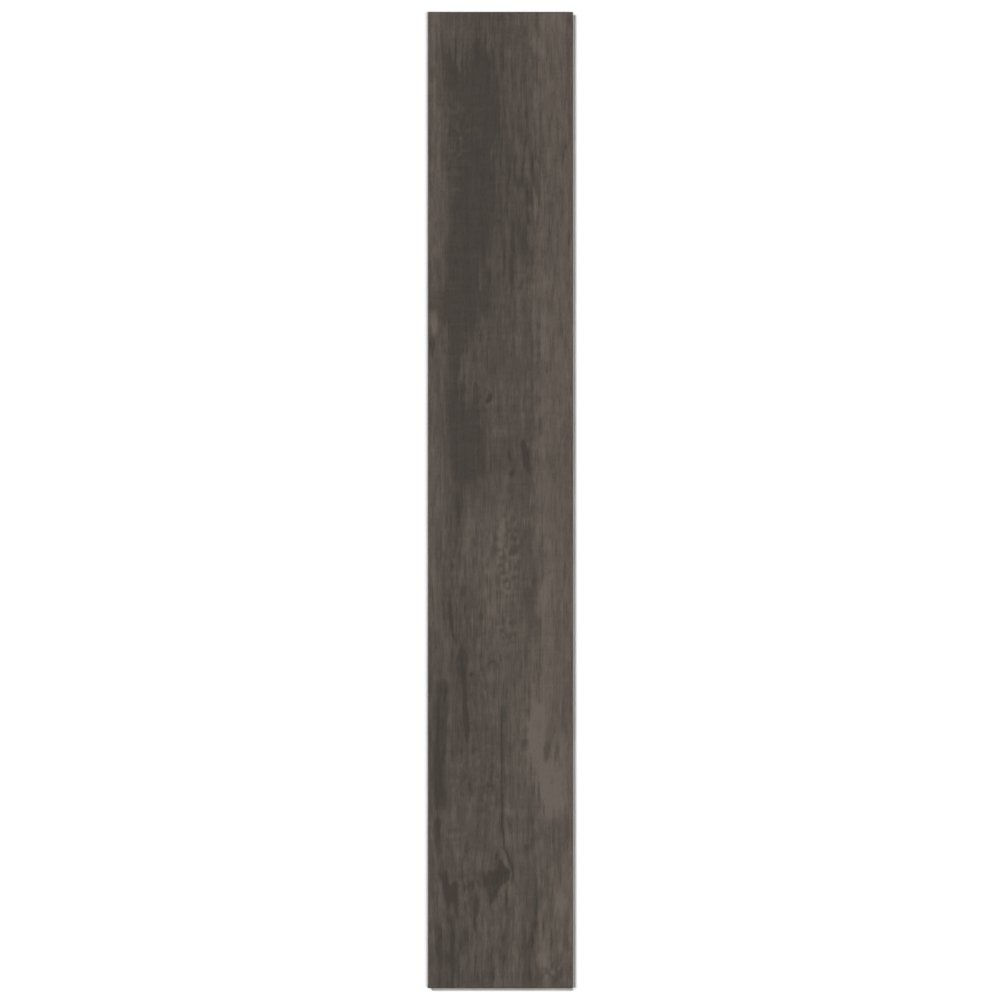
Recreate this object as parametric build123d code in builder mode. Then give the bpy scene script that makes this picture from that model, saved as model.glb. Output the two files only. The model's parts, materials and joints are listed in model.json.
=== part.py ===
"""A rigid core vinyl floor plank: one board with a bevelled wear face and click-lock joints on all four sides.

Millimetres, +Z up. The plank lies flat with its underside on z = 0, and the origin is on the underside, below
the centre of the wear face. The length runs along Y and the width along X.

Long edges join by angling in: the tongue on the -X edge turns into the groove above the lip of the +X edge.
Short ends join by dropping in: the +Y end drops over the hooked lip of the -Y end, and a ridge snaps home.
Each groove and recess follows the neighbour's tongue or lip with the joint clearance left round it.
"""

import os

from build123d import *

# Board and wear face
FACE_LENGTH = 1220.0
FACE_WIDTH = 181.0
THICKNESS = 5.0
BEVEL_WIDTH = 0.9
BEVEL_DEPTH = 0.5

# Play round each tongue in its groove and each lip in its recess
JOINT_CLEARANCE = 0.1

# Tongue of the long edge, measured out from the edge and down from the wear face
TONGUE_REACH = 2.0
TONGUE_DEPTH = 1.8
TONGUE_SLOPE = 0.25
TONGUE_NOSE_RADIUS = 0.45

# Lip of the long edge, from the edge outwards: ramp, channel, rising lock face, hook
LIP_ROOT_HEIGHT = 1.5
LIP_RAMP_LENGTH = 1.0
LIP_CHANNEL_HEIGHT = 1.0
LIP_CHANNEL_LENGTH = 1.2
LIP_FACE_LENGTH = 0.4
LIP_HOOK_HEIGHT = 1.75
LIP_HOOK_LENGTH = 1.4

# Snap ridge of the dropping end, measured out from the end and down from the wear face
RIDGE_REACH = 0.3
RIDGE_DEPTH = 2.0
RIDGE_HEIGHT = 0.9
RIDGE_SLOPE = 0.25
RIDGE_NOSE_RADIUS = 0.1

# Lip of the short end, in the same order as the long edge's
END_LIP_ROOT_HEIGHT = 1.3
END_LIP_RAMP_LENGTH = 0.3
END_LIP_CHANNEL_HEIGHT = 1.0
END_LIP_CHANNEL_LENGTH = 1.7
END_LIP_FACE_LENGTH = 0.15
END_LIP_HOOK_HEIGHT = 2.5
END_LIP_HOOK_LENGTH = 1.5

# Milled roundings of both lips
HOOK_NOSE_RADIUS = 0.45
HOOK_TOE_RADIUS = 0.3
HOOK_CREST_RADIUS = 0.15
CHANNEL_CORNER_RADIUS = 0.12

# Tongue and ridge as (reach, top, bottom, slope); the tongue rests on the root of the neighbour's lip
tongue = (TONGUE_REACH, THICKNESS - TONGUE_DEPTH, LIP_ROOT_HEIGHT + JOINT_CLEARANCE, TONGUE_SLOPE)
ridge = (RIDGE_REACH, THICKNESS - RIDGE_DEPTH, THICKNESS - RIDGE_DEPTH - RIDGE_HEIGHT, RIDGE_SLOPE)

# Lips as heights of root, channel and hook, and distances to the channel's start and end, the hook and its end
lip_heights = (LIP_ROOT_HEIGHT, LIP_CHANNEL_HEIGHT, LIP_HOOK_HEIGHT)
lip_channel_end = LIP_RAMP_LENGTH + LIP_CHANNEL_LENGTH
lip_hook_start = lip_channel_end + LIP_FACE_LENGTH
lip_reach = lip_hook_start + LIP_HOOK_LENGTH
lip_runs = (LIP_RAMP_LENGTH, lip_channel_end, lip_hook_start, lip_reach)

end_lip_heights = (END_LIP_ROOT_HEIGHT, END_LIP_CHANNEL_HEIGHT, END_LIP_HOOK_HEIGHT)
end_lip_channel_end = END_LIP_RAMP_LENGTH + END_LIP_CHANNEL_LENGTH
end_lip_hook_start = end_lip_channel_end + END_LIP_FACE_LENGTH
end_lip_reach = end_lip_hook_start + END_LIP_HOOK_LENGTH
end_lip_runs = (END_LIP_RAMP_LENGTH, end_lip_channel_end, end_lip_hook_start, end_lip_reach)

# Sketch planes on the joint faces: x points out of the board, y up, z along the edge
half_width = FACE_WIDTH / 2
half_length = FACE_LENGTH / 2
lip_edge = Plane((half_width, half_length, 0), x_dir=(1, 0, 0), z_dir=(0, -1, 0))
tongue_edge = Plane((-half_width, -half_length, 0), x_dir=(-1, 0, 0), z_dir=(0, 1, 0))
lip_end = Plane((half_width, -half_length, 0), x_dir=(0, -1, 0), z_dir=(-1, 0, 0))
drop_end = Plane((-half_width, half_length, 0), x_dir=(0, 1, 0), z_dir=(1, 0, 0))


def outline(corners):
    """A closed profile through corners given as (distance out, height, rounding radius)."""
    with BuildSketch() as profile:
        with BuildLine():
            Polyline(*[(out, height) for out, height, radius in corners], close=True)
        make_face()
        for out, height, radius in corners:
            if radius > 0:
                fillet(profile.vertices().sort_by_distance((out, height))[0], radius)
    return profile.sketch


def tongue_outline(reach, top, bottom, slope, nose_radius):
    """A tapered tongue with a rounded nose, standing out of the joint face."""
    nose = min(nose_radius, 0.45 * (top - bottom - 2 * slope), 0.45 * reach)
    return outline([
        (0, bottom, 0),
        (reach, bottom + slope, nose),
        (reach, top - slope, nose),
        (0, top, 0),
    ])


def groove_outline(reach, top, bottom, slope):
    """The groove for a tongue, cut into the joint face with square inner corners."""
    depth = reach + JOINT_CLEARANCE
    groove_top = top + JOINT_CLEARANCE
    groove_bottom = bottom - JOINT_CLEARANCE
    return outline([
        (0, groove_bottom, 0),
        (-depth, groove_bottom + slope, 0),
        (-depth, groove_top - slope, 0),
        (0, groove_top, 0),
    ])


def lip_outline(runs, heights):
    """A lower lip flush with the underside: ramp, channel, sloped lock face and hook."""
    channel_start, channel_end, hook_start, reach = runs
    root_height, channel_height, hook_height = heights
    return outline([
        (0, 0, 0),
        (reach, 0, HOOK_TOE_RADIUS),
        (reach, hook_height, HOOK_NOSE_RADIUS),
        (hook_start, hook_height, HOOK_CREST_RADIUS),
        (channel_end, channel_height, CHANNEL_CORNER_RADIUS),
        (channel_start, channel_height, CHANNEL_CORNER_RADIUS),
        (0, root_height, 0),
    ])


def recess_outline(runs, heights):
    """The recess for a lip, cut in under the joint face with square inner corners."""
    channel_start, channel_end, hook_start, reach = runs
    root_height, channel_height, hook_height = (height + JOINT_CLEARANCE for height in heights)
    return outline([
        (0, 0, 0),
        (-reach - JOINT_CLEARANCE, 0, 0),
        (-reach - JOINT_CLEARANCE, hook_height, 0),
        (-hook_start + JOINT_CLEARANCE, hook_height, 0),
        (-channel_end + JOINT_CLEARANCE, channel_height, 0),
        (-channel_start, channel_height, 0),
        (0, root_height, 0),
    ])


with BuildPart() as plank:
    # Board with a micro bevel round the wear face
    with BuildSketch():
        Rectangle(FACE_WIDTH, FACE_LENGTH)
    extrude(amount=THICKNESS)
    wear_face = plank.faces().sort_by(Axis.Z)[-1]
    chamfer(wear_face.edges(), length=BEVEL_WIDTH, length2=BEVEL_DEPTH, reference=wear_face)

    # Lips on the +X edge and the -Y end, each stopping short of the recess that passes its far corner
    with BuildSketch(lip_edge.offset(end_lip_reach + JOINT_CLEARANCE)):
        add(lip_outline(lip_runs, lip_heights))
    extrude(amount=FACE_LENGTH - end_lip_reach - JOINT_CLEARANCE)
    with BuildSketch(lip_end):
        add(lip_outline(end_lip_runs, end_lip_heights))
    extrude(amount=FACE_WIDTH - lip_reach - JOINT_CLEARANCE)

    # Tongue on the -X edge and snap ridge on the +Y end
    with BuildSketch(tongue_edge):
        add(tongue_outline(*tongue, TONGUE_NOSE_RADIUS))
    extrude(amount=FACE_LENGTH)
    with BuildSketch(drop_end):
        add(tongue_outline(*ridge, RIDGE_NOSE_RADIUS))
    extrude(amount=FACE_WIDTH)

    # Grooves for the neighbours' tongue and ridge, the long one running on through this plank's ridge and end lip
    with BuildSketch(lip_edge.offset(-2 * RIDGE_REACH)):
        add(groove_outline(*tongue))
    extrude(amount=FACE_LENGTH + 2 * RIDGE_REACH + 2 * end_lip_reach, mode=Mode.SUBTRACT)
    with BuildSketch(lip_end):
        add(groove_outline(*ridge))
    extrude(amount=FACE_WIDTH, mode=Mode.SUBTRACT)

    # Recesses for the neighbours' lips: under the whole tongue edge, and from its hook pocket across the +Y end
    with BuildSketch(tongue_edge):
        add(recess_outline(lip_runs, lip_heights))
    extrude(amount=FACE_LENGTH, mode=Mode.SUBTRACT)
    with BuildSketch(drop_end.offset(lip_hook_start)):
        add(recess_outline(end_lip_runs, end_lip_heights))
    extrude(amount=FACE_WIDTH - lip_hook_start, mode=Mode.SUBTRACT)

plank.part.label = "plank"

os.makedirs("parts", exist_ok=True)
export_step(plank.part, "parts/plank.step")
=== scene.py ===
"""Dresses the rigid core vinyl plank with an embossed wood print, painted bevels and a pressed core.

The print is drawn in millimetres on the wear face, x across the width and y along the length, as a field of
tone from 0 to 255. It has broad bands, a ragged dark heartwood stain, dark and light streaks, cracks and
knots, each placed one by one. The relief follows the same field, so that the embossing fits the print.
"""

import json
import math

import bmesh
import bpy
import numpy as np
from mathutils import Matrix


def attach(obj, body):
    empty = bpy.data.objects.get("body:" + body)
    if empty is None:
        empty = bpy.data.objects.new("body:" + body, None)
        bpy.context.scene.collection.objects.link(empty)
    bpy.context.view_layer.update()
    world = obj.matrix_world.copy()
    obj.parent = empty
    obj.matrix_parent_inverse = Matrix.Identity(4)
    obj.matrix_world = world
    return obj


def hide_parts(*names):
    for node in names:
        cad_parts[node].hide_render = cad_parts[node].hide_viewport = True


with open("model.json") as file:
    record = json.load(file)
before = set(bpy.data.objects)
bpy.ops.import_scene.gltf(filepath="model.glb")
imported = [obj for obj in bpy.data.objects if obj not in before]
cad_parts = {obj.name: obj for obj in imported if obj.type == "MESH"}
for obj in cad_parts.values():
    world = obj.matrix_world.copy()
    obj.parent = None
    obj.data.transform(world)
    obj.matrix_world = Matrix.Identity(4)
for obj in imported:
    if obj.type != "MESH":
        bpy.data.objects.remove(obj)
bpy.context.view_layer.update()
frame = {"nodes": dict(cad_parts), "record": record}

MM = 0.001

# The wear face in millimetres, from the mounts on its edges, its ends and its top
mounts = {mount["name"]: mount["pos_m"] for mount in frame["record"]["mounts"]}
FACE_WIDTH = (mounts["long_lip"][0] - mounts["long_tongue"][0]) / MM
FACE_LENGTH = (mounts["end_drop"][1] - mounts["end_lip"][1]) / MM
THICKNESS = mounts["wear_face"][2] / MM


# Random fields

# Points each way of the lattice that the noise repeats, and the gain that brings it to about -1 to 1
LATTICE = 128
NOISE_GAIN = 1.5


def smooth(share):
    """An S-shaped rise from 0 to 1."""
    return share * share * (3 - 2 * share)


def step(value, low, high):
    """0 below low, 1 above high and smooth between."""
    return smooth(np.clip((value - low) / (high - low), 0, 1))


def lattice_noise(u, v, seed):
    """Smooth random values from 0 to 1, with one lattice point for each unit of u and v."""
    table = np.random.default_rng(seed).random((LATTICE, LATTICE))
    column = np.floor(u).astype(int)
    row = np.floor(v).astype(int)
    s = smooth(u - column)
    t = smooth(v - row)
    left = column % LATTICE
    right = (column + 1) % LATTICE
    near = row % LATTICE
    far = (row + 1) % LATTICE
    low = table[left, near] * (1 - s) + table[right, near] * s
    high = table[left, far] * (1 - s) + table[right, far] * s
    return low * (1 - t) + high * t


def noise(x, y, sizes, seed, layers):
    """Layers of lattice noise, each half the size and strength of the one before, from about -1 to 1."""
    total = np.zeros_like(x)
    for layer in range(layers):
        finer = 2 ** layer
        u = x / sizes[0] * finer
        v = y / sizes[1] * finer
        total += (lattice_noise(u, v, seed + layer) - 0.5) / finer
    return total * NOISE_GAIN


# Shapes of the print, each a share from 0 to 1 at every point

# How far a streak runs past its end points, as a share of its taper, and the share of its width left there
STREAK_OVERRUN = 0.3
STREAK_END_WIDTH = 0.4

# Where the sides of a streak and a spot start and stop fading, in half sizes from the middle
STREAK_SIDES = (0.5, 1.3)
SPOT_SIDES = (0.6, 1.25)


def streak(x, y, points, half_width, taper):
    """A streak along the grain through (x, y) points, from the top down, fading out at its ends."""
    xs, ys = np.array(points, float).T
    centre = np.interp(y, ys[::-1], xs[::-1])
    taper = min(taper, (ys[0] - ys[-1]) / 2)
    overrun = STREAK_OVERRUN * taper
    ends = step(ys[0] - y, -overrun, taper) * step(y - ys[-1], -overrun, taper)
    width = half_width * (STREAK_END_WIDTH + (1 - STREAK_END_WIDTH) * ends)
    return ends * (1 - step(np.abs(x - centre) / width, *STREAK_SIDES))


def spot(x, y, centre, half_sizes, tilt=0.0):
    """A soft oval spot, its second half size along the grain before it is tilted by some degrees."""
    turn = math.radians(tilt)
    dx = x - centre[0]
    dy = y - centre[1]
    across = (dx * math.cos(turn) + dy * math.sin(turn)) / half_sizes[0]
    along = (-dx * math.sin(turn) + dy * math.cos(turn)) / half_sizes[1]
    return 1 - step(np.hypot(across, along), *SPOT_SIDES)


def places(x, y, spots):
    """Soft oval places added up, each given as (centre, half sizes, strength)."""
    return sum(strength * spot(x, y, centre, half_sizes) for centre, half_sizes, strength in spots)


def patch(x, y, corners, soft):
    """The inside of a polygon, its sides fading over this distance in and out."""
    inside = np.zeros(x.shape, bool)
    nearest = np.full(x.shape, np.inf)
    for (ax, ay), (bx, by) in zip(corners, corners[1:] + corners[:1]):
        run_x = bx - ax
        run_y = by - ay
        if run_y != 0:
            inside ^= ((ay > y) != (by > y)) & (x < run_x * (y - ay) / run_y + ax)
        share = np.clip(((x - ax) * run_x + (y - ay) * run_y) / (run_x ** 2 + run_y ** 2), 0, 1)
        nearest = np.minimum(nearest, np.hypot(x - ax - share * run_x, y - ay - share * run_y))
    return step(np.where(inside, nearest, -nearest), -soft, soft)


# Where the print has its features

# Broad tones, as (polygon, softness, change of tone)
BROAD_TONES = [
    # Brown middle of the upper half
    ([(-72, 640), (6, 640), (14, 500), (40, 440), (36, 400), (34, 330), (16, 250), (14, 160), (-34, 150),
      (-72, 500)], 9, -4.5),
    ([(-14, 440), (16, 440), (34, 400), (30, 310), (10, 215), (-22, 230)], 12, -1.5),
    ([(-24, 110), (40, 90), (36, -10), (-30, 0)], 14, -2.0),
    ([(-44, 190), (62, 196), (60, 156), (-40, 148)], 13, -2.8),
    # Pale right third and the darker places in it
    ([(46, 640), (120, 640), (120, -640), (48, -640), (50, -420), (46, -200)], 8, 6.5),
    ([(48, 640), (68, 640), (68, 440), (72, 200), (68, -260), (48, -260)], 7, 2.5),
    ([(40, 300), (60, 300), (60, 190), (40, 190)], 8, 2.0),
    ([(34, 30), (60, 30), (60, -60), (34, -60)], 10, 3.0),
    ([(54, 442), (70, 436), (70, 290), (54, 300)], 9, -4.5),
    ([(30, 500), (46, 500), (46, 440), (30, 440)], 8, -2.0),
    ([(70, 520), (120, 520), (120, 440), (70, 430)], 10, -3.0),
    ([(66, -50), (120, -50), (120, -140), (66, -130)], 12, 3.5),
    ([(55, -430), (69, -430), (70, -520), (57, -520)], 8, -7.5),
    ([(64, -450), (120, -450), (120, -560), (64, -560)], 12, 4.0),
    ([(70, -560), (120, -560), (120, -640), (66, -640)], 10, -4.5),
    # Pale left margin
    ([(-120, 640), (-72, 640), (-72, 320), (-85, 280), (-85, 160), (-76, 60), (-66, -10), (-80, -70),
      (-78, -210), (-120, -210)], 6, 4.5),
    # Pale middle below the heartwood
    ([(-44, -20), (16, -10), (22, -110), (18, -190), (-2, -260), (-30, -240), (-34, -120)], 14, 3.5),
    ([(-12, -36), (13, -32), (15, -120), (-9, -130)], 10, 8.0),
    ([(24, -170), (48, -150), (46, -330), (36, -420), (16, -430), (8, -330)], 14, 4.5),
    # Brown lower left
    ([(-120, -190), (-20, -190), (-6, -280), (-6, -360), (-120, -400)], 16, -2.0),
    ([(-72, -100), (-46, -100), (-36, -170), (-26, -250), (-66, -250)], 12, -3.2),
    ([(-120, -548), (-68, -540), (-58, -490), (-34, -480), (-38, -640), (-120, -640)], 10, -3.0),
    ([(-30, -350), (-8, -350), (-8, -450), (-30, -450)], 10, -2.5),
    # Foot, right of the middle
    ([(32, -410), (50, -410), (48, -640), (30, -640)], 9, -2.5),
    ([(15, -470), (31, -470), (31, -560), (16, -560)], 9, 3.0),
]

# Outlines of the heartwood stain, from the top down
HEARTWOOD = [
    [(-70, 548), (-66, 570), (-59, 572), (-50, 546), (-40, 540), (-34, 566), (-20, 572), (-4, 548), (-1, 512),
     (3, 476), (6, 448), (-6, 428), (-5, 392), (-8, 350), (-14, 322), (-24, 296), (-21, 262), (-24, 222),
     (-36, 204), (-44, 176), (-50, 168), (-56, 160), (-64, 176), (-66, 210), (-75, 226), (-74, 262),
     (-66, 282), (-68, 316), (-62, 350), (-60, 396), (-64, 430), (-62, 480), (-68, 510)],
    [(-64, 172), (-50, 172), (-50, 140), (-26, 138), (-22, 110), (-20, 70), (-22, 30), (-32, 4), (-46, 12),
     (-50, -16), (-48, -58), (-58, -60), (-56, -10), (-60, 24), (-64, 70), (-69, 100), (-66, 128)],
]

# Places where the stain is thin, as (centre, half sizes, share lost)
THIN_STAIN = [
    ((-43, 550), (6, 13), 0.8),
    ((-60, 494), (9, 22), 0.45),
    ((-50, 470), (8, 12), 0.4),
    ((-56, 424), (11, 24), 0.2),
    ((-5, 444), (3, 14), 0.7),
    ((-42, 336), (4, 12), 0.3),
    ((-33, 200), (11, 18), 0.55),
    ((-38, 172), (11, 16), 0.7),
    ((-40, 128), (7, 10), 0.4),
    ((-27, 152), (8, 10), 0.5),
    ((-40, 8), (9, 16), 0.5),
    ((-54, -40), (8, 20), 0.55),
]

# Dark streaks, as (points from the top down, half width, depth of tone)
DARK_STREAKS = [
    # Upper half
    ([(-28, 600), (-28, 574), (-27, 545)], 4.0, 7),
    ([(31, 593), (31, 578)], 2.6, 7),
    ([(-88, 470), (-88, 424)], 1.6, 9),
    ([(-78, 526), (-78, 486)], 4.0, 7),
    ([(31, 489), (31, 474)], 2.0, 8),
    ([(31, 462), (30, 432)], 1.8, 7),
    ([(40, 427), (40, 402)], 1.8, 9),
    ([(27, 422), (26, 387)], 1.8, 9),
    ([(33, 392), (33, 352), (32, 312)], 1.9, 11),
    ([(29, 345), (29, 314)], 1.4, 5),
    ([(16, 350), (14, 300), (13, 262)], 2.6, 5),
    ([(47, 348), (47, 306)], 4.2, 7),
    ([(5, 330), (5, 270)], 2.2, 5),
    ([(34, 304), (34, 284)], 1.8, 10),
    ([(4, 248), (4, 236)], 2.0, 7),
    ([(0, 265), (0, 257)], 1.8, 7),
    ([(78, 442), (78, 410)], 1.6, 9),
    ([(86, 340), (86, 311)], 2.0, 9),
    ([(-87, 208), (-86, 174)], 4.4, 11),
    ([(81, 213), (81, 172)], 1.4, 7),
    # Middle
    ([(28, 77), (30.5, 62), (33.5, 47), (36, 30)], 4.4, 18),
    ([(10, 67), (11, 47)], 3.2, 8),
    ([(82, 78), (82, 36)], 4.0, 6),
    ([(11, 20), (11, 6)], 2.6, 6),
    ([(-54, 10), (-54, -20), (-56, -60)], 3.2, 6),
    ([(-60, -74), (-61, -92)], 2.8, 11),
    ([(-62, -112), (-63, -140), (-60, -164), (-56, -183)], 2.6, 13),
    ([(18, -46), (18, -62)], 1.8, 6),
    ([(38, -100), (38, -142)], 3.4, 4),
    ([(27, -214), (27, -262)], 4.6, 7),
    # Lower left
    ([(-49, -180), (-47, -206), (-45, -236), (-43, -264), (-42, -306)], 3.2, 14),
    ([(-73, -220), (-72, -258), (-74, -300), (-76, -345), (-75, -392)], 8.0, 12.5),
    ([(-80, -250), (-79, -300), (-82, -345), (-79, -384)], 4.4, 6),
    ([(-79, -392), (-78, -424), (-77, -450)], 4.4, 10),
    ([(-60, -304), (-60, -331)], 2.0, 8),
    ([(-73, -446), (-73, -478)], 4.4, 7),
    ([(-78, -526), (-77, -572)], 4.4, 12),
    ([(-60, -534), (-60, -572)], 2.6, 9),
    ([(-44, -530), (-41, -578)], 6.0, 7),
    ([(-74, -562), (-74, -624)], 4.0, 9),
    ([(-64, -562), (-64, -624)], 7.0, 9),
    ([(-31, -486), (-31, -504), (-33, -526)], 6.4, 13),
    # Under the knot and to its right
    ([(7, -474), (8, -498), (8, -522)], 2.0, 9),
    ([(3, -538), (4, -562)], 2.4, 8),
    ([(4, -562), (4, -582)], 1.8, 9),
    ([(-7, -578), (-8, -606)], 2.8, 7),
    ([(44, -440), (44, -524)], 2.2, 11),
    ([(62, -464), (62, -506)], 4.6, 7),
    ([(72, -522), (72, -562)], 5.0, 6),
    ([(41, -520), (40, -560)], 3.4, 10),
    ([(27, -528), (28, -580)], 5.0, 7),
    ([(36, -548), (34, -602)], 4.4, 10),
]

# The long crack and its fork round the main knot, as (points from the top down, half width)
CRACKS = [
    ([(1.8, -256), (1.8, -300), (1.9, -412)], 1.4),
    ([(1.9, -404), (4.4, -424), (4.6, -436)], 1.4),
    ([(2.6, -428), (9.0, -444), (14.0, -457), (16.0, -468), (13.0, -482)], 1.8),
    ([(-4.4, -438), (-5.0, -451)], 1.8),
]

# The main knot and the blot to its left, as (polygon, softness, raggedness along the grain, depth of tone)
DARK_PATCHES = [
    ([(-2, -450), (5, -455), (12, -463), (11, -474), (1, -481), (-7, -498), (-13, -506), (-15, -480),
      (-15, -465), (-4, -462)], 2.0, 2.0, 19),
    ([(-75, -464), (-68, -465), (-66, -478), (-54, -479), (-54, -522), (-58, -504), (-62, -499), (-65, -512),
      (-69, -498), (-72, -480)], 3.0, 5.0, 20),
]

# Small knots and dark spots, as (centre, half sizes, tilt in degrees, depth of tone)
SPOTS = [
    ((-13.4, 129), (3.4, 5.4), -20, 15),
    ((-16.2, 124), (3.6, 3.8), 0, 14),
    ((31, -306), (5.6, 8.0), 0, 10),
    ((57, -314), (4.8, 15.0), -6, 17),
    ((14, 33), (3.4, 4.0), 0, 8),
    ((46, 180), (5.0, 3.4), 0, 6),
    ((81, 442), (1.6, 2.6), 0, 11),
    ((39, -400), (3.4, 6.0), 0, 7),
    ((33, -433), (3.6, 3.4), 0, 8),
    ((81, -591), (2.4, 4.4), 0, 7),
    ((-54, -208), (11.0, 24.0), 0, 4),
    ((-37, -218), (3.0, 3.6), 0, 9),
    ((-23.5, -211), (2.4, 3.4), 0, 9),
    ((-47, -314), (3.4, 3.6), 0, 6),
    ((-14, -357), (3.0, 3.6), 0, 8),
    ((-22, -387), (3.4, 4.6), 0, 7),
    ((-24, -474), (9.0, 12.0), 0, 8),
    ((-37, -483), (6.0, 7.0), 0, 8),
]

# The arc of a small knot's eye: its thickness in radii, the height over which it fades in, its depth of tone
EYE_CENTRE = (-9.5, -212)
EYE_RADII = (6.6, 10.5)
EYE_RING = 0.22
EYE_RISE = 8
EYE_DEPTH = 12.0

# Light streaks, as (points from the top down, half width, height of tone)
LIGHT_STREAKS = [
    # Upper half
    ([(52, 640), (51, 548)], 3.4, 7),
    ([(66, 660), (66, 540)], 12.0, 2.5),
    ([(-82, 660), (-82, 560)], 8.0, 6),
    ([(-80, 530), (-80, 470)], 5.0, 3),
    ([(-78, 458), (-78, 404)], 3.0, 5),
    ([(-81, 322), (-81, 298)], 3.4, 6),
    ([(-83, 236), (-82, 203)], 5.2, 17),
    ([(56, 399), (56, 385)], 2.0, 7),
    ([(21, 484), (19, 396)], 4.4, 6),
    ([(37, 358), (37, 346)], 2.0, 7),
    ([(-4, 264), (-4, 222)], 2.4, 5),
    ([(-15, 116), (-11, 100)], 5.0, 4),
    # Lower half
    ([(54, -104), (54, -138)], 5.4, 8),
    ([(58, -60), (58, -200)], 9.0, 3),
    ([(55, -190), (55, -218)], 4.6, 8),
    ([(78, -163), (78, -177)], 2.2, 6),
    ([(77, -284), (78, -328)], 4.6, 9),
    ([(-11, -211), (-11, -230)], 4.2, 9),
    ([(-78, -470), (-79, -514)], 4.0, 9),
    ([(87, -436), (87, -446)], 4.0, 6),
    ([(74, -484), (74, -524)], 6.0, 8),
    ([(52, -562), (51, -592)], 6.4, 16),
    # Beside the long crack and its fork
    ([(0.5, -430), (1.5, -444), (7, -456), (10.5, -464)], 3.4, 8),
    ([(9.4, -374), (9.4, -436)], 4.6, 7),
    ([(17, -350), (17, -396)], 4.4, 7),
    ([(-3.4, -376), (-3.4, -438)], 4.0, 5),
]

# Light patches, as (polygon, softness, height of tone)
LIGHT_PATCHES = [
    ([(44, -222), (54, -216), (58, -250), (57, -296), (66, -322), (84, -330), (88, -392), (62, -400),
      (50, -374), (34, -342), (29, -318), (29, -280), (36, -262)], 7, 9),
    ([(38, -264), (52, -258), (53, -310), (62, -328), (78, -338), (78, -386), (60, -386), (48, -354),
      (34, -330), (34, -290)], 5, 10.5),
    ([(-58, -418), (-32, -424), (-32, -458), (-56, -462)], 6, 3),
    ([(-50, 590), (-33, 590), (-33, 584), (-50, 584)], 4, 6),
]

# Places of marked streaks, as (centre, half sizes, strength)
STREAKY = [
    ((-20, -540), (80, 100), 0.8),
    ((30, 360), (26, 110), 0.5),
    ((-50, -120), (40, 90), 0.4),
]

# Places of chequered figure, as (centre, half sizes, strength)
FIGURE = [
    ((-55, 456), (18, 52), 0.6),
    ((9, -70), (17, 62), 1.0),
    ((8, -162), (16, 18), 0.8),
    ((-26, -350), (34, 50), 0.45),
    ((66, -592), (18, 16), 1.2),
]

# Places of saw lines, as (centre, half sizes, strength), the last one faint and all over
SAWN = [
    ((-54, 420), (18, 36), 0.6),
    ((-84, 250), (10, 22), 1.0),
    ((-45, -440), (24, 44), 1.0),
    ((0, 0), (90, 640), 0.32),
]

# Knots that the grain runs round, as (centre, half sizes)
GRAIN_KNOTS = [
    ((-14.5, 127), (4.0, 6.0)),
    ((-1, -472), (13.0, 18.0)),
    (EYE_CENTRE, EYE_RADII),
]


# The noises of the print and what they do

# Noises as (sizes across and along, seed, layers): those along the bent grain, and those straight on the face
GRAIN_NOISES = {
    "wide": ((13, 260), 41, 3),
    "fibre": ((3.0, 60), 21, 3),
    "fine": ((1.6, 24), 31, 2),
    "chop": ((3.4, 13), 36, 2),
    "cloud": ((16, 44), 46, 3),
    "dark_fleck": ((3.4, 24), 81, 2),
    "light_fleck": ((4.0, 30), 86, 2),
}
FACE_NOISES = {
    "mottle": ((9, 14), 51, 3),
    "saw": ((30, 4.0), 61, 2),
}
CHECK_NOISE = ((3.8, 4.8), 56, 1)

# The wandering of the grain, as noises and how far they move it
WANDER_ACROSS = ((70, 320), 11, 2)
WANDER_ACROSS_BY = 5.0
WANDER_ALONG = ((25, 160), 12, 2)
WANDER_ALONG_BY = 9.0

# How far round a knot the grain bends, in half sizes of the knot, and how far it moves there
KNOT_REACH = (2.6, 2.8)
KNOT_PUSH = 0.6

# How far the noises move the outlines of shapes
CLOSE_SHIFT_X = {"fine": 1.0, "chop": 1.2}
RAGGED_SHIFT_X = {"fibre": 5.0, "chop": 3.0, "mottle": 4.0}
RAGGED_SHIFT_Y = {"fibre": 17.0, "fine": 6.0, "mottle": 8.0}
CHECK_SHIFT_X = {"mottle": 0.76}
THIN_STAIN_SHIFT_Y = {"fibre": 8.0, "mottle": 6.0}
LIGHT_PATCH_SHIFT_Y = {"fibre": 8.0}
SPOT_SHIFT_Y = {"mottle": 2.0}
CRACK_SHIFT_X = {"fine": 0.5}

# Base tone of the plain wood, what noises add to it all over and where it is streaky, and the tone's limits
BASE_TONE = 79.9
WOOD_TONES = {"wide": 3.0, "mottle": 3.0, "cloud": 3.0}
STREAK_TONES = {"fibre": 3.2, "fine": 2.0, "chop": 4.0}
DARKEST = 65.5
LIGHTEST = 101.0

# Flecks, by the part of their noise over which they rise, and the tones of flecks, figure and saw lines
DARK_FLECK_RISE = (0.32, 0.62)
DARK_FLECK_TONE = 5.0
LIGHT_FLECK_RISE = (0.34, 0.62)
LIGHT_FLECK_TONE = 4.0
FIGURE_TONE = 18.0
SAW_TONE = 11.0

# The stain's softness, its strength, and how much of it saw lines and figure take off
STAIN_SOFT = 7.0
STAIN_STRENGTH = 0.90
STAIN_SAWN_OFF = 0.9
STAIN_FIGURED_OFF = 1.3

# How strongly each kind of shape shows, as an even share and what the noises add to it
SAW_SHOW = {"even": 0.6, "mottle": 0.8}
LIGHT_STREAK_SHOW = {"even": 0.9, "fibre": 0.4}
LIGHT_PATCH_SHOW = {"even": 0.9, "mottle": 0.3}
DARK_STREAK_SHOW = {"even": 0.95, "fine": 0.5}
SPOT_SHOW = {"even": 0.95, "mottle": 0.3}

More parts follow.
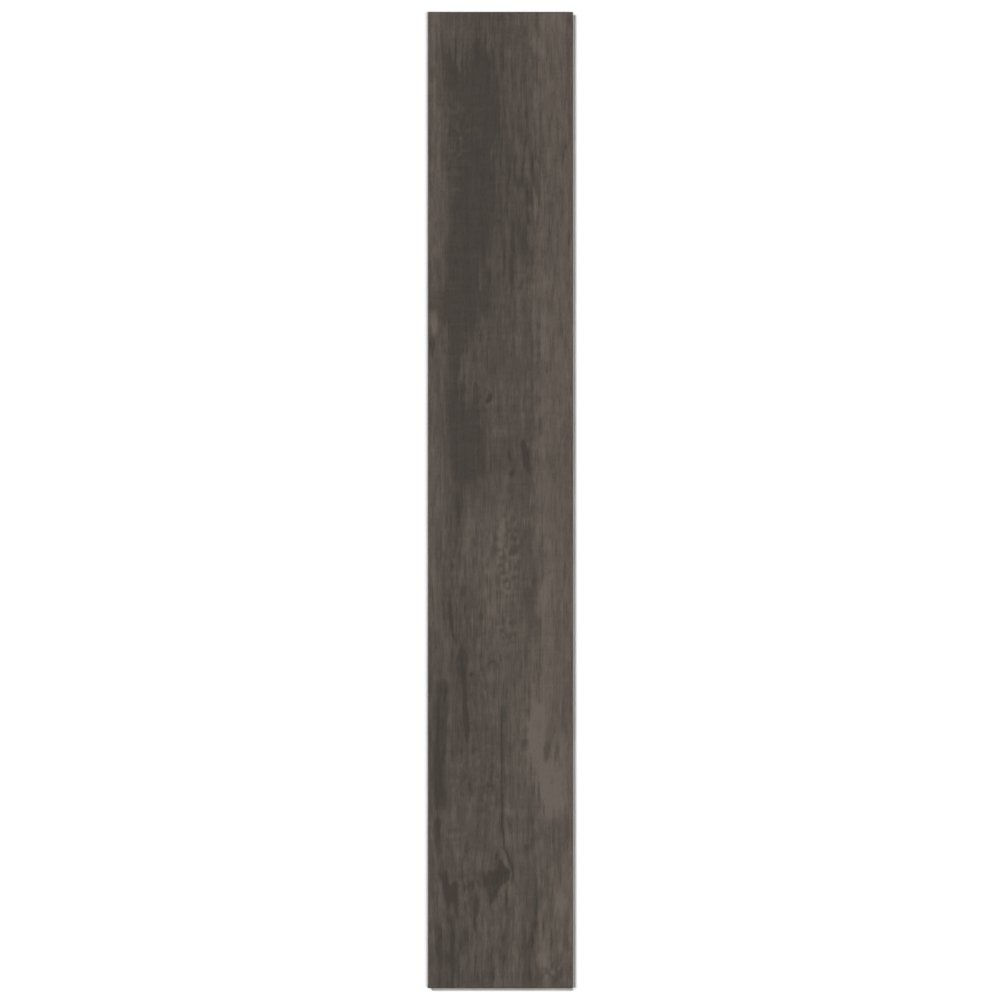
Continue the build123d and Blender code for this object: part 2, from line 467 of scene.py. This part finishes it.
# Lengths over which streaks and cracks run out, and the depth of the cracks' tone
LIGHT_TAPER = 14.0
DARK_TAPER = 12.0
CRACK_TAPER = 8.0
CRACK_DEPTH = 15.0

# The share of the lesser dark shapes that is added where several meet, and the most that they count for
OVERLAP_SHARE = 0.3
OVERLAP_LIMIT = 12

# Depth of embossing from 0 to 1, from the noises and for each level of dark tone
EMBOSSING = {"even": 0.32, "fibre": -0.30, "fine": -0.22, "saw": -0.10}
EMBOSSING_BY_DARK = 0.045


def grain_lines(x, y):
    """The across-grain and along-grain places, bent so that the grain wanders and runs round the knots."""
    across = x + WANDER_ACROSS_BY * noise(x, y, *WANDER_ACROSS)
    for (centre_x, centre_y), (half_width, half_length) in GRAIN_KNOTS:
        dx = (x - centre_x) / half_width
        dy = (y - centre_y) / half_length
        near = np.exp(-((dx / KNOT_REACH[0]) ** 2) - (dy / KNOT_REACH[1]) ** 2)
        across = across - KNOT_PUSH * half_width * np.clip(dx, -1, 1) * near
    along = y + WANDER_ALONG_BY * noise(x, y, *WANDER_ALONG)
    return across, along


class WoodPrint:
    """The print at points of the wear face: its tone, its depth of embossing and its grain lines."""

    def __init__(self, x, y):
        self.x = x
        self.y = y
        self.across, self.along = grain_lines(x, y)
        self.noises = {"even": 1.0}
        for name, kind in GRAIN_NOISES.items():
            self.noises[name] = noise(self.across, self.along, *kind)
        for name, kind in FACE_NOISES.items():
            self.noises[name] = noise(x, y, *kind)
        self.noises["check"] = noise(x + self.mix(CHECK_SHIFT_X), y, *CHECK_NOISE)
        self.close_x = x + self.mix(CLOSE_SHIFT_X)
        self.ragged_x = x + self.mix(RAGGED_SHIFT_X)
        self.ragged_y = y + self.mix(RAGGED_SHIFT_Y)
        self.figure = places(x, y, FIGURE)
        self.sawn = places(x, y, SAWN)

        tone = self.plain_wood()
        tone -= STAIN_STRENGTH * self.stain() * np.maximum(tone - DARKEST, 0)
        dark = self.dark_shapes()
        self.tone = np.clip(tone + self.light_shapes() - dark, DARKEST, LIGHTEST)
        self.emboss = np.clip(self.mix(EMBOSSING) + EMBOSSING_BY_DARK * dark, 0, 1)

    def mix(self, amounts):
        """The named noises added up, each times its amount."""
        return sum(amount * self.noises[name] for name, amount in amounts.items())

    def plain_wood(self):
        """The tone of the broad bands, with their grain, flecks, chequered figure and saw lines."""
        tone = np.full_like(self.x, BASE_TONE)
        for corners, soft, change in BROAD_TONES:
            tone += change * patch(self.ragged_x, self.ragged_y, corners, soft)
        streaky = 1 + places(self.x, self.y, STREAKY)
        tone += self.mix(WOOD_TONES) + streaky * self.mix(STREAK_TONES)
        tone -= DARK_FLECK_TONE * streaky * step(self.noises["dark_fleck"], *DARK_FLECK_RISE)
        tone += LIGHT_FLECK_TONE * step(self.noises["light_fleck"], *LIGHT_FLECK_RISE)
        tone += FIGURE_TONE * self.figure * self.noises["check"]
        tone += SAW_TONE * self.noises["saw"] * np.clip(self.sawn, 0, 1) * self.mix(SAW_SHOW)
        return tone

    def stain(self):
        """The share of heartwood stain, thin in places and broken by the figure and the saw lines."""
        share = np.zeros_like(self.x)
        for corners in HEARTWOOD:
            share = np.maximum(share, patch(self.ragged_x, self.ragged_y, corners, STAIN_SOFT))
        thin_y = self.y + self.mix(THIN_STAIN_SHIFT_Y)
        for centre, half_sizes, lost in THIN_STAIN:
            share *= 1 - lost * spot(self.ragged_x, thin_y, centre, half_sizes)
        sawn_off = STAIN_SAWN_OFF * self.sawn * np.clip(self.noises["saw"], 0, 1)
        figured_off = STAIN_FIGURED_OFF * self.figure * np.clip(self.noises["check"], 0, 1)
        return share * np.clip(1 - sawn_off - figured_off, 0, 1)

    def light_shapes(self):
        """The height of tone of the light streaks and patches, added up."""
        tone = np.zeros_like(self.x)
        show = self.mix(LIGHT_STREAK_SHOW)
        for points, half_width, height in LIGHT_STREAKS:
            tone += height * show * streak(self.close_x, self.y, points, half_width, LIGHT_TAPER)
        show = self.mix(LIGHT_PATCH_SHOW)
        patch_y = self.y + self.mix(LIGHT_PATCH_SHIFT_Y)
        for corners, soft, height in LIGHT_PATCHES:
            tone += height * show * patch(self.ragged_x, patch_y, corners, soft)
        return tone

    def dark_shapes(self):
        """The depth of tone of the dark shapes, the deepest one at each point and a share of the others."""
        darks = [self.knot_eye()]
        show = self.mix(DARK_STREAK_SHOW)
        for points, half_width, depth in DARK_STREAKS:
            darks.append(depth * show * streak(self.close_x, self.y, points, half_width, DARK_TAPER))
        show = self.mix(SPOT_SHOW)
        spot_y = self.y + self.mix(SPOT_SHIFT_Y)
        for centre, half_sizes, tilt, depth in SPOTS:
            darks.append(depth * show * spot(self.close_x, spot_y, centre, half_sizes, tilt))
        crack_x = self.x + self.mix(CRACK_SHIFT_X)
        for points, half_width in CRACKS:
            darks.append(CRACK_DEPTH * streak(crack_x, self.y, points, half_width, CRACK_TAPER))
        for corners, soft, ragged, depth in DARK_PATCHES:
            patch_y = self.y + ragged * self.noises["fibre"]
            darks.append(depth * patch(self.close_x, patch_y, corners, soft))
        deepest = np.maximum.reduce(darks)
        return deepest + OVERLAP_SHARE * np.clip(sum(darks) - deepest, 0, OVERLAP_LIMIT)

    def knot_eye(self):
        """The depth of tone of the small knot's eye, an arc over its centre."""
        dx = self.x - EYE_CENTRE[0]
        dy = self.y - EYE_CENTRE[1]
        radii = np.hypot(dx / EYE_RADII[0], dy / EYE_RADII[1])
        return EYE_DEPTH * np.exp(-(((radii - 1) / EYE_RING) ** 2)) * step(dy, 0, EYE_RISE)


# The dressed mesh

# Material slots
PRINT, BEVEL, CORE = 0, 1, 2

# Spacing of the wear face's grid
CELL_ACROSS = 1.0
CELL_ALONG = 2.5

# The bevel's rounded section, as (distance in from the edge, depth below the wear face)
BEVEL_DEPTH = 0.5
BEVEL_SECTION = [(0.0, BEVEL_DEPTH), (0.3, 0.335), (0.6, 0.17), (0.85, 0.05), (1.15, 0.0)]

# The embossing's full depth, and the distances in from the edge over which it sets in
EMBOSS_DEPTH = 0.16
EMBOSS_RISE = (1.1, 2.6)

# Tolerances: for two corners at one place, for joining the grid to the rim, and for a corner's height
SAME_PLACE = 0.001
RIM_JOIN = 0.002
SAME_HEIGHT = 0.01

# Angle in degrees from which an edge stays sharp
SHARP_ANGLE = 24


def from_edge(x, y):
    """How far in from the nearest edge of the wear face each point lies."""
    return np.minimum(FACE_WIDTH / 2 - np.abs(x), FACE_LENGTH / 2 - np.abs(y))


def with_bevel(size, cell):
    """Places along one side of the wear face: the bevel's at both ends, an even number of cells between."""
    inset = np.array([distance for distance, depth in BEVEL_SECTION])
    half = size / 2
    inner = half - inset[-1]
    cells = 2 * round(inner / cell)
    middle = np.linspace(-inner, inner, cells + 1)
    return np.concatenate([-half + inset[:-1], middle, half - inset[-2::-1]])


def wear_face_mesh(xs, ys):
    """The wear face and its bevels as a grid, split along the mitres at the corners and not yet embossed."""
    x, y = np.meshgrid(xs, ys, indexing="ij")
    z = THICKNESS - np.interp(from_edge(x, y), *zip(*BEVEL_SECTION))
    corners = np.stack([x, y, z], axis=-1).reshape(-1, 3) * MM
    numbers = np.arange(x.size).reshape(x.shape).tolist()
    rim = len(BEVEL_SECTION) - 1
    faces = []
    slots = []
    for i in range(len(xs) - 1):
        for j in range(len(ys) - 1):
            a, b = numbers[i][j], numbers[i + 1][j]
            c, d = numbers[i + 1][j + 1], numbers[i][j + 1]
            from_side = min(i, len(xs) - 2 - i)
            from_end = min(j, len(ys) - 2 - j)
            if from_side != from_end or from_side >= rim:
                cell = [(a, b, c, d)]
            elif (i < rim) == (j < rim):
                cell = [(a, b, c), (a, c, d)]
            else:
                cell = [(a, b, d), (b, c, d)]
            faces += cell
            slots += [BEVEL if min(from_side, from_end) < rim - 1 else PRINT] * len(cell)
    mesh = bpy.data.meshes.new("wear_face")
    mesh.from_pydata(corners.tolist(), [], faces)
    mesh.polygons.foreach_set("material_index", slots)
    return mesh


def split_rim(bm, xs, ys):
    """Splits the open rim left by the removed wear face, so that it has the grid's outer corners."""
    for edge in [e for e in bm.edges if e.is_boundary]:
        start, end = edge.verts
        axis = 0 if abs(start.co.x - end.co.x) > abs(start.co.y - end.co.y) else 1
        if start.co[axis] > end.co[axis]:
            start, end = end, start
        low = start.co[axis] + SAME_PLACE * MM
        high = end.co[axis] - SAME_PLACE * MM
        for place in (xs, ys)[axis] * MM:
            if low < place < high:
                share = (place - start.co[axis]) / (end.co[axis] - start.co[axis])
                edge, start = bmesh.utils.edge_split(edge, start, share)
                edge = next(e for e in start.link_edges if end in e.verts)


def dressed_mesh():
    """The CAD plank with its wear face and bevels swapped for the dense grid, as one closed mesh."""
    xs = with_bevel(FACE_WIDTH, CELL_ACROSS)
    ys = with_bevel(FACE_LENGTH, CELL_ALONG)
    bm = bmesh.new()
    bm.from_mesh(frame["nodes"]["plank"].data)
    bmesh.ops.remove_doubles(bm, verts=bm.verts, dist=SAME_PLACE * MM)
    rim_height = (THICKNESS - BEVEL_DEPTH - SAME_HEIGHT) * MM
    wear_face = [f for f in bm.faces if all(v.co.z > rim_height for v in f.verts)]
    bmesh.ops.delete(bm, geom=wear_face, context="FACES")
    for face in bm.faces:
        face.material_index = CORE
    split_rim(bm, xs, ys)
    grid = wear_face_mesh(xs, ys)
    bm.from_mesh(grid)
    bpy.data.meshes.remove(grid)
    bmesh.ops.remove_doubles(bm, verts=[v for v in bm.verts if v.is_boundary], dist=RIM_JOIN * MM)
    open_edges = sum(not e.is_manifold for e in bm.edges)
    mesh = bpy.data.meshes.new("vinyl_plank")
    bm.to_mesh(mesh)
    bm.free()
    print("dressed plank:", len(mesh.polygons), "faces,", open_edges, "open edges")
    return mesh


def corner_places(mesh):
    """The mesh's corners in metres, one row each."""
    rows = np.empty(len(mesh.vertices) * 3)
    mesh.vertices.foreach_get("co", rows)
    return rows.reshape(-1, 3)


def emboss(mesh):
    """Presses the print into the wear face, and keeps its fields on the mesh for the materials."""
    corners = corner_places(mesh)
    x, y, z = corners.T / MM
    wood = WoodPrint(x, y)
    on_face = step(from_edge(x, y), *EMBOSS_RISE) * (z > THICKNESS - SAME_HEIGHT)
    corners[:, 2] -= EMBOSS_DEPTH * wood.emboss * on_face * MM
    mesh.vertices.foreach_set("co", corners.ravel())
    mesh.attributes.new("light", "FLOAT", "POINT").data.foreach_set("value", wood.tone)
    mesh.attributes.new("emboss", "FLOAT", "POINT").data.foreach_set("value", wood.emboss)
    grain = np.stack([wood.across, wood.along, np.zeros_like(x)], axis=-1)
    mesh.attributes.new("grain", "FLOAT_VECTOR", "POINT").data.foreach_set("vector", grain.ravel())
    mesh.polygons.foreach_set("use_smooth", np.ones(len(mesh.polygons), bool))
    mesh.update()
    mesh.set_sharp_from_angle(angle=math.radians(SHARP_ANGLE))


# Materials

def srgb(*channels):
    """A colour written as 0 to 255 values, as the shader takes it."""
    shares = [c / 255 for c in channels]
    return [s / 12.92 if s <= 0.04045 else ((s + 0.055) / 1.055) ** 2.4 for s in shares] + [1.0]


class Shader:
    """A material's node tree, with short calls for the nodes used here."""

    def __init__(self, name):
        self.material = bpy.data.materials.new(name)
        self.material.use_nodes = True
        self.tree = self.material.node_tree
        self.surface = self.tree.nodes["Principled BSDF"]

    def put(self, socket, value):
        """Links a node's output to a socket, or sets the socket to a plain value."""
        if isinstance(value, bpy.types.NodeSocket):
            self.tree.links.new(value, socket)
        else:
            socket.default_value = value

    def finish(self, **inputs):
        """Puts values on the surface's sockets, named with _ for each space, and gives the material."""
        for name, value in inputs.items():
            self.put(self.surface.inputs[name.replace("_", " ")], value)
        return self.material

    def node(self, kind, **inputs):
        """A new node with values on its sockets, named with _ for each space."""
        node = self.tree.nodes.new(kind)
        for name, value in inputs.items():
            self.put(node.inputs[name.replace("_", " ")], value)
        return node

    def attribute(self, name, output):
        """One of the fields kept on the mesh."""
        node = self.tree.nodes.new("ShaderNodeAttribute")
        node.attribute_name = name
        return node.outputs[output]

    def object_place(self):
        """The place in metres in the plank's own frame."""
        return self.node("ShaderNodeTexCoord").outputs["Object"]

    def maths(self, operation, *values):
        """One step of arithmetic."""
        node = self.tree.nodes.new("ShaderNodeMath")
        node.operation = operation
        for socket, value in zip(node.inputs, values):
            self.put(socket, value)
        return node.outputs[0]

    def noise(self, vector, sizes, detail, roughness=0.55):
        """Noise from 0 to 1 with features of the given sizes in the vector's units."""
        scaled = self.tree.nodes.new("ShaderNodeVectorMath")
        scaled.operation = "MULTIPLY"
        self.put(scaled.inputs[0], vector)
        scaled.inputs[1].default_value = [1 / size for size in sizes]
        texture = self.node(
            "ShaderNodeTexNoise", Vector=scaled.outputs[0], Scale=1.0, Detail=detail, Roughness=roughness
        )
        return texture.outputs["Fac"]

    def within(self, value, low, high, to_low=0.0, to_high=1.0):
        """The value's place between low and high, spread from to_low to to_high."""
        node = self.node(
            "ShaderNodeMapRange", Value=value, From_Min=low, From_Max=high, To_Min=to_low, To_Max=to_high
        )
        return node.outputs[0]

    def ramp(self, value, stops):
        """A colour for each value, through stops given as (position, colour)."""
        node = self.node("ShaderNodeValToRGB", Fac=value)
        while len(node.color_ramp.elements) < len(stops):
            node.color_ramp.elements.new(0.5)
        for element, (position, colour) in zip(node.color_ramp.elements, stops):
            element.position = position
            element.color = colour
        return node.outputs["Color"]

    def bump(self, height, strength, distance):
        """A surface normal that follows a height, with its distance in millimetres."""
        node = self.node("ShaderNodeBump", Strength=strength, Distance=distance * MM, Height=height)
        return node.outputs["Normal"]


# Share of the usual reflection that the matte wear layer, the paint and the core keep
SPECULAR = 0.25

# Colours of the print by tone, and the span of tones that their ramp covers
PRINT_COLOURS = [
    (60.0, srgb(59, 53, 47)),
    (67.7, srgb(70, 64, 58)),
    (75.1, srgb(81, 73, 66)),
    (81.1, srgb(87, 79, 72)),
    (86.2, srgb(94, 85, 77)),
    (91.2, srgb(100, 91, 83)),
    (99.2, srgb(109, 100, 92)),
]
RAMP_LOW, RAMP_HIGH = 55.0, 105.0

# Noises of the print's finest features, as (millimetres across the grain, along it and in depth, detail)
FIBRES = ((0.5, 18, 1), 4.0)
STRANDS = ((1.7, 42, 1), 2.0)
PORES = ((0.38, 6, 1), 1.0)
FLECKS = ((1.6, 2.4, 1), 2.0)
RINGS = ((2.6, 140, 1), 2.0)
RING_PLACES = ((9, 70, 1), 2.0)

# Parts of their noise over which pores and places of growth rings rise, and a ring's half width in its noise
PORE_RISE = (0.60, 0.66)
RING_PLACE_RISE = (0.40, 0.62)
RING_HALF_WIDTH = 0.055

# The finest features' tones, and the tones of the print between which they grow from faint to full
FIBRE_TONE = 22.0
STRAND_TONE = 9.0
FLECK_TONE = 7.0
PORE_TONE = -8.0
RING_TONE = -8.0
FAINT_FROM, FULL_FROM = 64.0, 78.0
FAINT = 0.4

# Roughness of the wear layer, and what embossing, fibres and pores add to it
PRINT_ROUGHNESS = 0.72
EMBOSS_ROUGHNESS = 0.12
FIBRE_ROUGHNESS = 0.08
PORE_ROUGHNESS = 0.12

# Heights of pores and rings in the finest relief, beside a fibre's height of 1
PORE_HEIGHT = -0.6
RING_HEIGHT = -0.3


def print_material():
    """Wood print under a matte wear layer: the drawn tone, with features too fine for the mesh."""
    s = Shader("wood_print")
    grain = s.attribute("grain", "Vector")
    fibres = s.noise(grain, *FIBRES)
    strands = s.noise(grain, *STRANDS)
    pores = s.within(s.noise(grain, *PORES), *PORE_RISE)
    flecks = s.noise(grain, *FLECKS)

    # Growth rings are thin lines where a slow noise passes its middle, and show only in places
    off_line = s.maths("ABSOLUTE", s.maths("SUBTRACT", s.noise(grain, *RINGS), 0.5))
    rings = s.within(off_line, 0.0, RING_HALF_WIDTH, 1.0, 0.0)
    rings = s.maths("MULTIPLY", rings, s.within(s.noise(grain, *RING_PLACES), *RING_PLACE_RISE))

    # Each feature as (its share at a point, its mean share, its tone)
    features = [
        (fibres, 0.5, FIBRE_TONE),
        (strands, 0.5, STRAND_TONE),
        (flecks, 0.5, FLECK_TONE),
        (pores, 0.12, PORE_TONE),
        (rings, 0.1, RING_TONE),
    ]
    fine = 0.0
    for share, mean, tone in features:
        fine = s.maths("MULTIPLY_ADD", s.maths("SUBTRACT", share, mean), tone, fine)
    drawn = s.attribute("light", "Fac")
    tone = s.maths("MULTIPLY_ADD", fine, s.within(drawn, FAINT_FROM, FULL_FROM, FAINT, 1.0), drawn)
    span = RAMP_HIGH - RAMP_LOW
    stops = [((level - RAMP_LOW) / span, colour) for level, colour in PRINT_COLOURS]

    rough = s.maths("MULTIPLY_ADD", s.attribute("emboss", "Fac"), EMBOSS_ROUGHNESS, PRINT_ROUGHNESS)
    rough = s.maths("MULTIPLY_ADD", fibres, FIBRE_ROUGHNESS, rough)
    height = s.maths("MULTIPLY_ADD", rings, RING_HEIGHT, fibres)
    height = s.maths("MULTIPLY_ADD", pores, PORE_HEIGHT, height)
    return s.finish(
        Base_Color=s.ramp(s.within(tone, RAMP_LOW, RAMP_HIGH), stops),
        Roughness=s.maths("MULTIPLY_ADD", pores, PORE_ROUGHNESS, rough),
        Specular_IOR_Level=SPECULAR,
        Normal=s.bump(height, strength=0.8, distance=0.16),
    )


# Noises of the bevel's paint and the core's grains, clouds and lines, as (sizes in metres, detail, roughness)
PAINT = ((0.004, 0.02, 0.004), 3.0)
CORE_GRAINS = ((0.0007, 0.0007, 0.0007), 3.0, 0.7)
CORE_CLOUDS = ((0.05, 0.12, 0.05), 3.0)
CORE_LINES = ((0.0011, 0.30, 0.0005), 2.0)

# The part of a noise's range in which most of its values lie, and the surface's roughness at its two ends
NOISE_SPAN = (0.3, 0.7)
PAINT_ROUGHNESS = (0.45, 0.6)
CORE_ROUGHNESS = (0.62, 0.8)

# Colours by tone, shares of grains, clouds and lines in the core's tone, and a line's height beside a grain's
PAINT_COLOURS = [(0.3, srgb(46, 42, 38)), (0.7, srgb(56, 51, 47))]
CORE_COLOURS = [(0.36, srgb(184, 183, 179)), (0.5, srgb(202, 200, 196)), (0.64, srgb(219, 217, 213))]
CORE_GRAIN_SHARE = 0.45
CORE_CLOUD_SHARE = 0.30
CORE_LINE_SHARE = 0.25
CORE_LINE_HEIGHT = 0.6


def bevel_material():
    """Dark paint rolled on to the bevel, a little uneven along it."""
    s = Shader("bevel_paint")
    uneven = s.noise(s.object_place(), *PAINT)
    return s.finish(
        Base_Color=s.ramp(uneven, PAINT_COLOURS),
        Roughness=s.within(uneven, *NOISE_SPAN, *PAINT_ROUGHNESS),
        Specular_IOR_Level=SPECULAR,
    )


def core_material():
    """Pressed stone-filled vinyl: grey with fine pale and dark grains, and faint press and cutter lines."""
    s = Shader("stone_core")
    place = s.object_place()
    grains = s.noise(place, *CORE_GRAINS)
    clouds = s.noise(place, *CORE_CLOUDS)
    lines = s.noise(place, *CORE_LINES)
    tone = s.maths("MULTIPLY", lines, CORE_LINE_SHARE)
    tone = s.maths("MULTIPLY_ADD", grains, CORE_GRAIN_SHARE, tone)
    tone = s.maths("MULTIPLY_ADD", clouds, CORE_CLOUD_SHARE, tone)
    height = s.maths("MULTIPLY_ADD", lines, CORE_LINE_HEIGHT, grains)
    return s.finish(
        Base_Color=s.ramp(tone, CORE_COLOURS),
        Roughness=s.within(grains, *NOISE_SPAN, *CORE_ROUGHNESS),
        Specular_IOR_Level=SPECULAR,
        Normal=s.bump(height, strength=0.4, distance=0.1),
    )


# Layout of the plank's maps: the wear face as two half-length strips, and all else in the narrow rest
MAP_LAYER = "OFBake"
STRIP_WIDTH = 0.405
UPPER_STRIP, LOWER_STRIP = 0.005, 0.42
STRIP_FOOT, STRIP_TOP = 0.005, 0.995
REST_LEFT, REST_RIGHT = 0.835, 0.995
REST_ANGLE = 66
REST_MARGIN = 0.004


def unfold_rest(mesh, on_core):
    """Unfolds the core's faces over the whole map, through the active object."""
    mesh.polygons.foreach_set("select", on_core)
    bpy.context.tool_settings.mesh_select_mode = (False, False, True)
    bpy.ops.object.mode_set(mode="EDIT")
    bpy.ops.uv.smart_project(
        angle_limit=math.radians(REST_ANGLE), island_margin=REST_MARGIN, scale_to_bounds=True
    )
    bpy.ops.object.mode_set(mode="OBJECT")


def lay_out_maps(plank):
    """Gives each face its place in the plank's maps."""
    mesh = plank.data
    mesh.uv_layers.new(name=MAP_LAYER)
    slots = np.empty(len(mesh.polygons), int)
    mesh.polygons.foreach_get("material_index", slots)
    bpy.context.view_layer.objects.active = plank
    unfold_rest(mesh, slots == CORE)

    layer = mesh.uv_layers[MAP_LAYER]
    spots = np.empty(len(mesh.loops) * 2, np.float32)
    layer.uv.foreach_get("vector", spots)
    spots = spots.reshape(-1, 2)
    numbers = np.empty(len(mesh.loops), int)
    mesh.loops.foreach_get("vertex_index", numbers)
    sides = np.empty(len(mesh.polygons), int)
    mesh.polygons.foreach_get("loop_total", sides)
    centres = np.empty(len(mesh.polygons) * 3)
    mesh.polygons.foreach_get("center", centres)
    on_core = np.repeat(slots == CORE, sides)
    upper = np.repeat(centres.reshape(-1, 3)[:, 1] > 0, sides)

    x, y = corner_places(mesh)[numbers, :2].T / MM
    half = FACE_LENGTH / 2
    across_share = x / FACE_WIDTH + 0.5
    along_share = np.where(upper, y, y + half) / half
    strip_u = np.where(upper, UPPER_STRIP, LOWER_STRIP) + STRIP_WIDTH * across_share
    strip_v = STRIP_FOOT + (STRIP_TOP - STRIP_FOOT) * along_share
    rest_u = REST_LEFT + (REST_RIGHT - REST_LEFT) * spots[:, 0]
    spots[:, 0] = np.where(on_core, rest_u, strip_u)
    spots[:, 1] = np.where(on_core, spots[:, 1], strip_v)
    layer.uv.foreach_set("vector", spots.ravel())


# The plank

plank_mesh = dressed_mesh()
emboss(plank_mesh)
for material in (print_material(), bevel_material(), core_material()):
    plank_mesh.materials.append(material)
plank = bpy.data.objects.new("vinyl_plank", plank_mesh)
bpy.context.scene.collection.objects.link(plank)
lay_out_maps(plank)
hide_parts("plank")
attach(plank, "root")


# Floor, light and camera

# Half the floor's side in metres, its own grey, and the glow that makes it show as white
FLOOR_HALF = 6.0
FLOOR_GREY = (0.86, 0.86, 0.86, 1.0)
FLOOR_GLOW = 0.31

# Strength of the world's light on the object, and as the background
WORLD_LIGHT = 0.30
WORLD_WHITE = 1.0

# The two lamps, as (name, azimuth and height in degrees, strength), and how wide they look in degrees
LAMPS = [("key", 150.0, 42.0, 1.65), ("fill", -25.0, 42.0, 0.95)]
LAMP_SPREAD = 40.0

# The photograph's size in pixels, the size of one in metres on the wear face, and the lens in millimetres
IMAGE_SIZE = 1000
PIXEL = 1.2494 * MM
VIEW_SHIFT = -0.5 * PIXEL
LENS = 100.0
SENSOR = 36.0


def background_rays(tree):
    """1 for rays that show the background to the camera, in gloss or through glass, and 0 for all others."""
    path = tree.nodes.new("ShaderNodeLightPath")
    seen = path.outputs["Is Camera Ray"]
    for name in ("Is Glossy Ray", "Is Transmission Ray"):
        either = tree.nodes.new("ShaderNodeMath")
        either.operation = "MAXIMUM"
        tree.links.new(seen, either.inputs[0])
        tree.links.new(path.outputs[name], either.inputs[1])
        seen = either.outputs[0]
    return seen


def floor_material():
    """White floor that shows as white to the camera and in gloss, and keeps the plank's shadow."""
    s = Shader("white_floor")
    s.tree.nodes.remove(s.surface)
    glow = s.node("ShaderNodeEmission", Strength=s.maths("MULTIPLY", background_rays(s.tree), FLOOR_GLOW))
    matte = s.node("ShaderNodeBsdfDiffuse", Color=FLOOR_GREY)
    both = s.tree.nodes.new("ShaderNodeAddShader")
    s.put(both.inputs[0], glow.outputs[0])
    s.put(both.inputs[1], matte.outputs[0])
    s.put(s.tree.nodes["Material Output"].inputs["Surface"], both.outputs[0])
    return s.material


def make_floor():
    """A wide square floor under the plank."""
    mesh = bpy.data.meshes.new("floor")
    signs = [(-1, -1), (1, -1), (1, 1), (-1, 1)]
    mesh.from_pydata([(sx * FLOOR_HALF, sy * FLOOR_HALF, 0) for sx, sy in signs], [], [(0, 1, 2, 3)])
    mesh.materials.append(floor_material())
    floor = bpy.data.objects.new("floor", mesh)
    bpy.context.scene.collection.objects.link(floor)
    return floor


def make_world():
    """An even soft light from all round, white as a background."""
    world = bpy.data.worlds.new("studio")
    bpy.context.scene.world = world
    world.use_nodes = True
    tree = world.node_tree
    sky = tree.nodes["Background"]
    sky.inputs["Color"].default_value = (1.0, 1.0, 1.0, 1.0)
    strength = tree.nodes.new("ShaderNodeMapRange")
    strength.inputs["To Min"].default_value = WORLD_LIGHT
    strength.inputs["To Max"].default_value = WORLD_WHITE
    tree.links.new(background_rays(tree), strength.inputs["Value"])
    tree.links.new(strength.outputs[0], sky.inputs["Strength"])


def make_lamp(name, azimuth, height, strength):
    """An even light from far off, as soft as a large studio lamp."""
    light = bpy.data.lights.new(name, "SUN")
    light.energy = strength
    light.angle = math.radians(LAMP_SPREAD)
    lamp = bpy.data.objects.new(name, light)
    lamp.rotation_euler = (math.radians(90 - height), 0, math.radians(azimuth + 90))
    bpy.context.scene.collection.objects.link(lamp)


def make_camera():
    """The photograph's view: straight down on the wear face, the length up the picture."""
    lens = bpy.data.cameras.new("camera")
    lens.lens = LENS
    lens.sensor_width = SENSOR
    camera = bpy.data.objects.new("camera", lens)
    distance = IMAGE_SIZE * PIXEL * LENS / SENSOR
    camera.location = (VIEW_SHIFT, 0, THICKNESS * MM + distance)
    bpy.context.scene.collection.objects.link(camera)
    bpy.context.scene.camera = camera


make_floor()
make_world()
for lamp in LAMPS:
    make_lamp(*lamp)
make_camera()
bpy.context.scene.view_settings.view_transform = "Standard"
